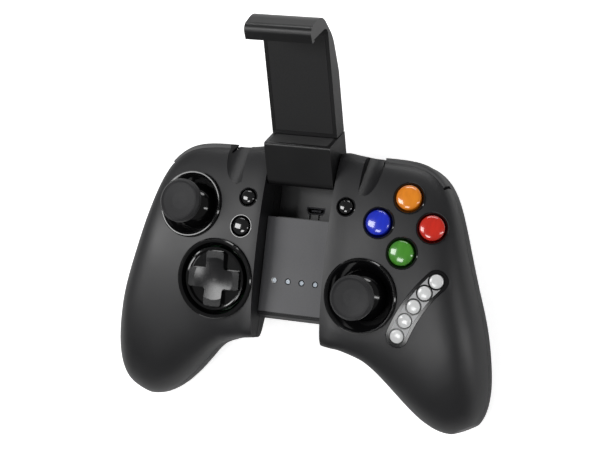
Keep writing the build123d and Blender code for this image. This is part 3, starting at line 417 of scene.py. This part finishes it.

# Coloured acrylic for the domes, with sharp highlights. The second colour is painted shade towards the
# rim, and the tone of random streaks.
for direction, colour, plastic in (
    ("back", "orange", button_plastic("orange_acrylic", "#f7931e", "#c05a00")),
    ("left", "blue", button_plastic("blue_acrylic", "#1b35d8", "#0b1685")),
    ("right", "red", button_plastic("red_acrylic", "#dd2a17", "#8e100a")),
    ("front", "green", button_plastic("green_acrylic", "#4c9a2c", "#1d4f12")),
):
    node = "button_" + direction
    seat = push_button(node, face_button_radius, face_button_rise, face_button_edge,
                       face_button_skirt, face_button_sides, plastic, "button_" + colour)
    well_ring(node, seat, face_button_radius + ring_play, face_ring_outer,
              face_ring_depth, face_ring_lip, face_button_sides)


# Small buttons
# Three black ABS domes from a polished mould: two on the left of the panel, the nearer one larger,
# and one on the right. Each has its own acrylic ring pressed into the cover.
small_button_rise = 0.0012
small_button_edge = 0.0002
small_button_skirt = 0.0027
small_button_sides = 48
small_ring_depth = 0.0007
small_ring_lip = 0.00022
small_button_radius = 0.00275
small_ring_outer = 0.00385
home_button_radius = 0.00335
home_ring_outer = 0.0046

# Piano black under a clear gloss: a black bead with one bright point.
small_button_plastic = polished_plastic("piano_black_button_abs", "#0c0c0e", 0.1, 0.8)
for node, radius, ring_outer in (
    ("button_select", small_button_radius, small_ring_outer),
    ("button_start", small_button_radius, small_ring_outer),
    ("button_home", home_button_radius, home_ring_outer),
):
    seat = push_button(node, radius, small_button_rise, small_button_edge, small_button_skirt,
                       small_button_sides, small_button_plastic, "pad_black")
    well_ring(node, seat, radius + ring_play, ring_outer, small_ring_depth, small_ring_lip,
              small_button_sides)


# Media strip
# A narrow ABS strip, inlaid beside the right stick and glued down, with a hole for each key.
# Its black is glossy, and a little softer than the bezel rings'.
strip_plastic = polished_plastic("strip_black_abs", "#0a0a0b", 0.12)
finish_node(strip_plastic, "media_strip")


# Media keys
# Five small keys of moulded ABS, which stand up through the strip in a curved row.
# The plastic is a pearl white under a clear gloss, so each key looks like a milky bead.
key_radius = 0.00265
key_rise = 0.0009
key_edge = 0.0003
key_skirt = 0.0025
key_sides = 40
key_count = 5
key_plastic = polished_plastic("pearl_white_abs", "#dcdddd", 0.15, 0.6)
key_seats = []
for number in range(key_count):
    node = "media_key_" + str(number + 1)
    key_seats.append(push_button(node, key_radius, key_rise, key_edge, key_skirt, key_sides,
                                 key_plastic, "key_white"))


# Plates between the media keys
# Four thin plates of painted plastic, glued to the strip between the keys and hollowed at both ends
# to clear them. The silver paint is satin: a light grey that reflects nothing sharply.
plate_half_width = 0.0032
plate_height = 0.00035
plate_hole_radius = 0.0033
plate_hole_sides = 64
plate_cutter_depth = 8 * plate_height
plate_plastic = moulded_plastic("satin_silver_plate", "#a4a5a6", 0.34, 0.3, 0.01)
for number, (first, second) in enumerate(zip(key_seats, key_seats[1:])):
    run = second.translation - first.translation
    up = (first.col[2].to_3d() + second.col[2].to_3d()).normalized()
    along = (run - up * run.dot(up)).normalized()
    across = up.cross(along)
    middle = (first.translation + second.translation) / 2
    turn = Matrix((along, across, up)).transposed().to_4x4()
    bpy.ops.object.select_all(action="DESELECT")
    bpy.ops.mesh.primitive_cube_add(size=1)
    plate = bpy.context.object
    plate.name = "media_plate_" + str(number + 1)
    plate.data.transform(Matrix.Diagonal((run.length, 2 * plate_half_width, 2 * plate_height, 1)))
    plate.data.transform(Matrix.Translation(middle) @ turn)
    for end in (first, second):
        bpy.ops.object.select_all(action="DESELECT")
        bpy.ops.mesh.primitive_cylinder_add(vertices=plate_hole_sides, radius=plate_hole_radius,
                                            depth=plate_cutter_depth)
        cutter = bpy.context.object
        cutter.data.transform(end)
        bpy.context.view_layer.objects.active = plate
        cut = plate.modifiers.new("hole", "BOOLEAN")
        cut.object = cutter
        cut.operation = "DIFFERENCE"
        bpy.ops.object.modifier_apply(modifier="hole")
        bpy.data.objects.remove(cutter)
    finish_piece(plate, plate_plastic, "body", "strip_silver")


# Indicator lights
# Four acrylic light pipes carry the board's lamps up through the panel, in a row across it.
# A thin acrylic ring is glued round the end of each.
indicator_count = 4
indicator_spacing = 0.00567
indicator_ring_outer = 0.00125
indicator_ring_inner = 0.0009
indicator_ring_rise = 0.00012
indicator_ring_slope = 0.00005
indicator_ring_sides = 32

# Clear acrylic over a dark board looks like a pale frosted dot, and is drawn as one.
light_plastic = polished_plastic("clear_light_pipe", "#b9c4cf", 0.1)
finish_node(light_plastic, "indicator_lights")
low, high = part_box("indicator_lights")
panel_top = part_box("centre_panel")[1].z
for number in range(indicator_count):
    outline = [
        (indicator_ring_outer, 0.0),
        (indicator_ring_outer - indicator_ring_slope, indicator_ring_rise),
        (indicator_ring_inner + indicator_ring_slope, indicator_ring_rise),
        (indicator_ring_inner, 0.0),
    ]
    ring = turned_piece("indicator_ring_" + str(number + 1), outline, indicator_ring_sides, solid=False)
    from_middle = (number - (indicator_count - 1) / 2) * indicator_spacing
    place = Vector(((low.x + high.x) / 2 + from_middle, (low.y + high.y) / 2, panel_top))
    ring.data.transform(Matrix.Translation(place))
    finish_piece(ring, ring_acrylic, "body", "ring_black")


# Gimbals, brackets and washers
# The carriers, rockers and housings under the sticks and the pad, the shoulder brackets and
# switches, and the clamp's washers. All are moulded acetal, which slides without grease.
# It looks waxy: a dark grey with a soft, even shine.
gimbal_plastic = moulded_plastic("natural_black_pom", "#2a2a2a", 0.4, 0.8, 0.02)
finish_node(gimbal_plastic, "dpad_rocker", "dpad_pivot", "left_stick_rocker", "left_stick_carrier",
            "left_stick_housing", "right_stick_rocker", "right_stick_carrier", "right_stick_housing",
            "right_shoulder_bracket", "left_shoulder_bracket", "shoulder_switches", "clamp_washers")


# Boards
# Three boards of glass and epoxy laminate, held between the two covers.
# The green lacquer over them gives a dull gloss.
board_laminate = moulded_plastic("green_board_laminate", "#1f6b3a", 0.35, 1.5, 0.02)
finish_node(board_laminate, "main_board", "right_board", "left_board")


# Battery
# A flat lithium cell in the hump of the rear cover, stuck down and wrapped in plain film.
# The film is a silvery grey with a blurred shine.
battery_film = polished_plastic("battery_film", "#8f969e", 0.25)
finish_node(battery_film, "battery")


# Pins and springs
# The hinge and trigger pins are turned steel, pressed into the plastic, and the arm's two springs
# are wound steel wire. All are nickel plated.

def plated_steel(name, colour, roughness):
    """Plated steel with an uneven polish from its drawing."""
    line_mm = 1.11
    polish_play = 0.12
    material, tree, output = new_material(name)
    place = add_node(tree, "TexCoord").outputs["Object"]
    lines = add_node(tree, "TexNoise", Vector=place, Scale=1000 / line_mm, Detail=2.0)
    polish = add_node(tree, "MapRange", Value=lines.outputs["Fac"], _1=0.3, _2=0.7,
                      _3=roughness, _4=roughness + polish_play)
    shader = add_node(tree, "BsdfPrincipled", Base_Color=linear(colour), Metallic=1.0,
                      Roughness=polish.outputs[0])
    tree.links.new(shader.outputs[0], output.inputs["Surface"])
    return material


# Nickel: a bright, even grey with short streaks of light.
nickel = plated_steel("nickel_plated_steel", "#b9b9bb", 0.25)
finish_node(nickel, "trigger_pins", "clamp_hinge_pin", "clamp_springs")


# Rail, charging port and screws
# The rail is a flat steel bar that stands in the clamp's base and carries the arm. The port's shell
# is bent sheet steel, set in the wall behind the panel. The screws come up from below.
# All are steel, blackened in a hot bath.

# Black oxide is a dark metal with a dull shine, hard to tell from the plastic round it.
black_steel = plated_steel("black_oxide_steel", "#232325", 0.4)
finish_node(black_steel, "clamp_rail", "charging_port", "cover_screws")
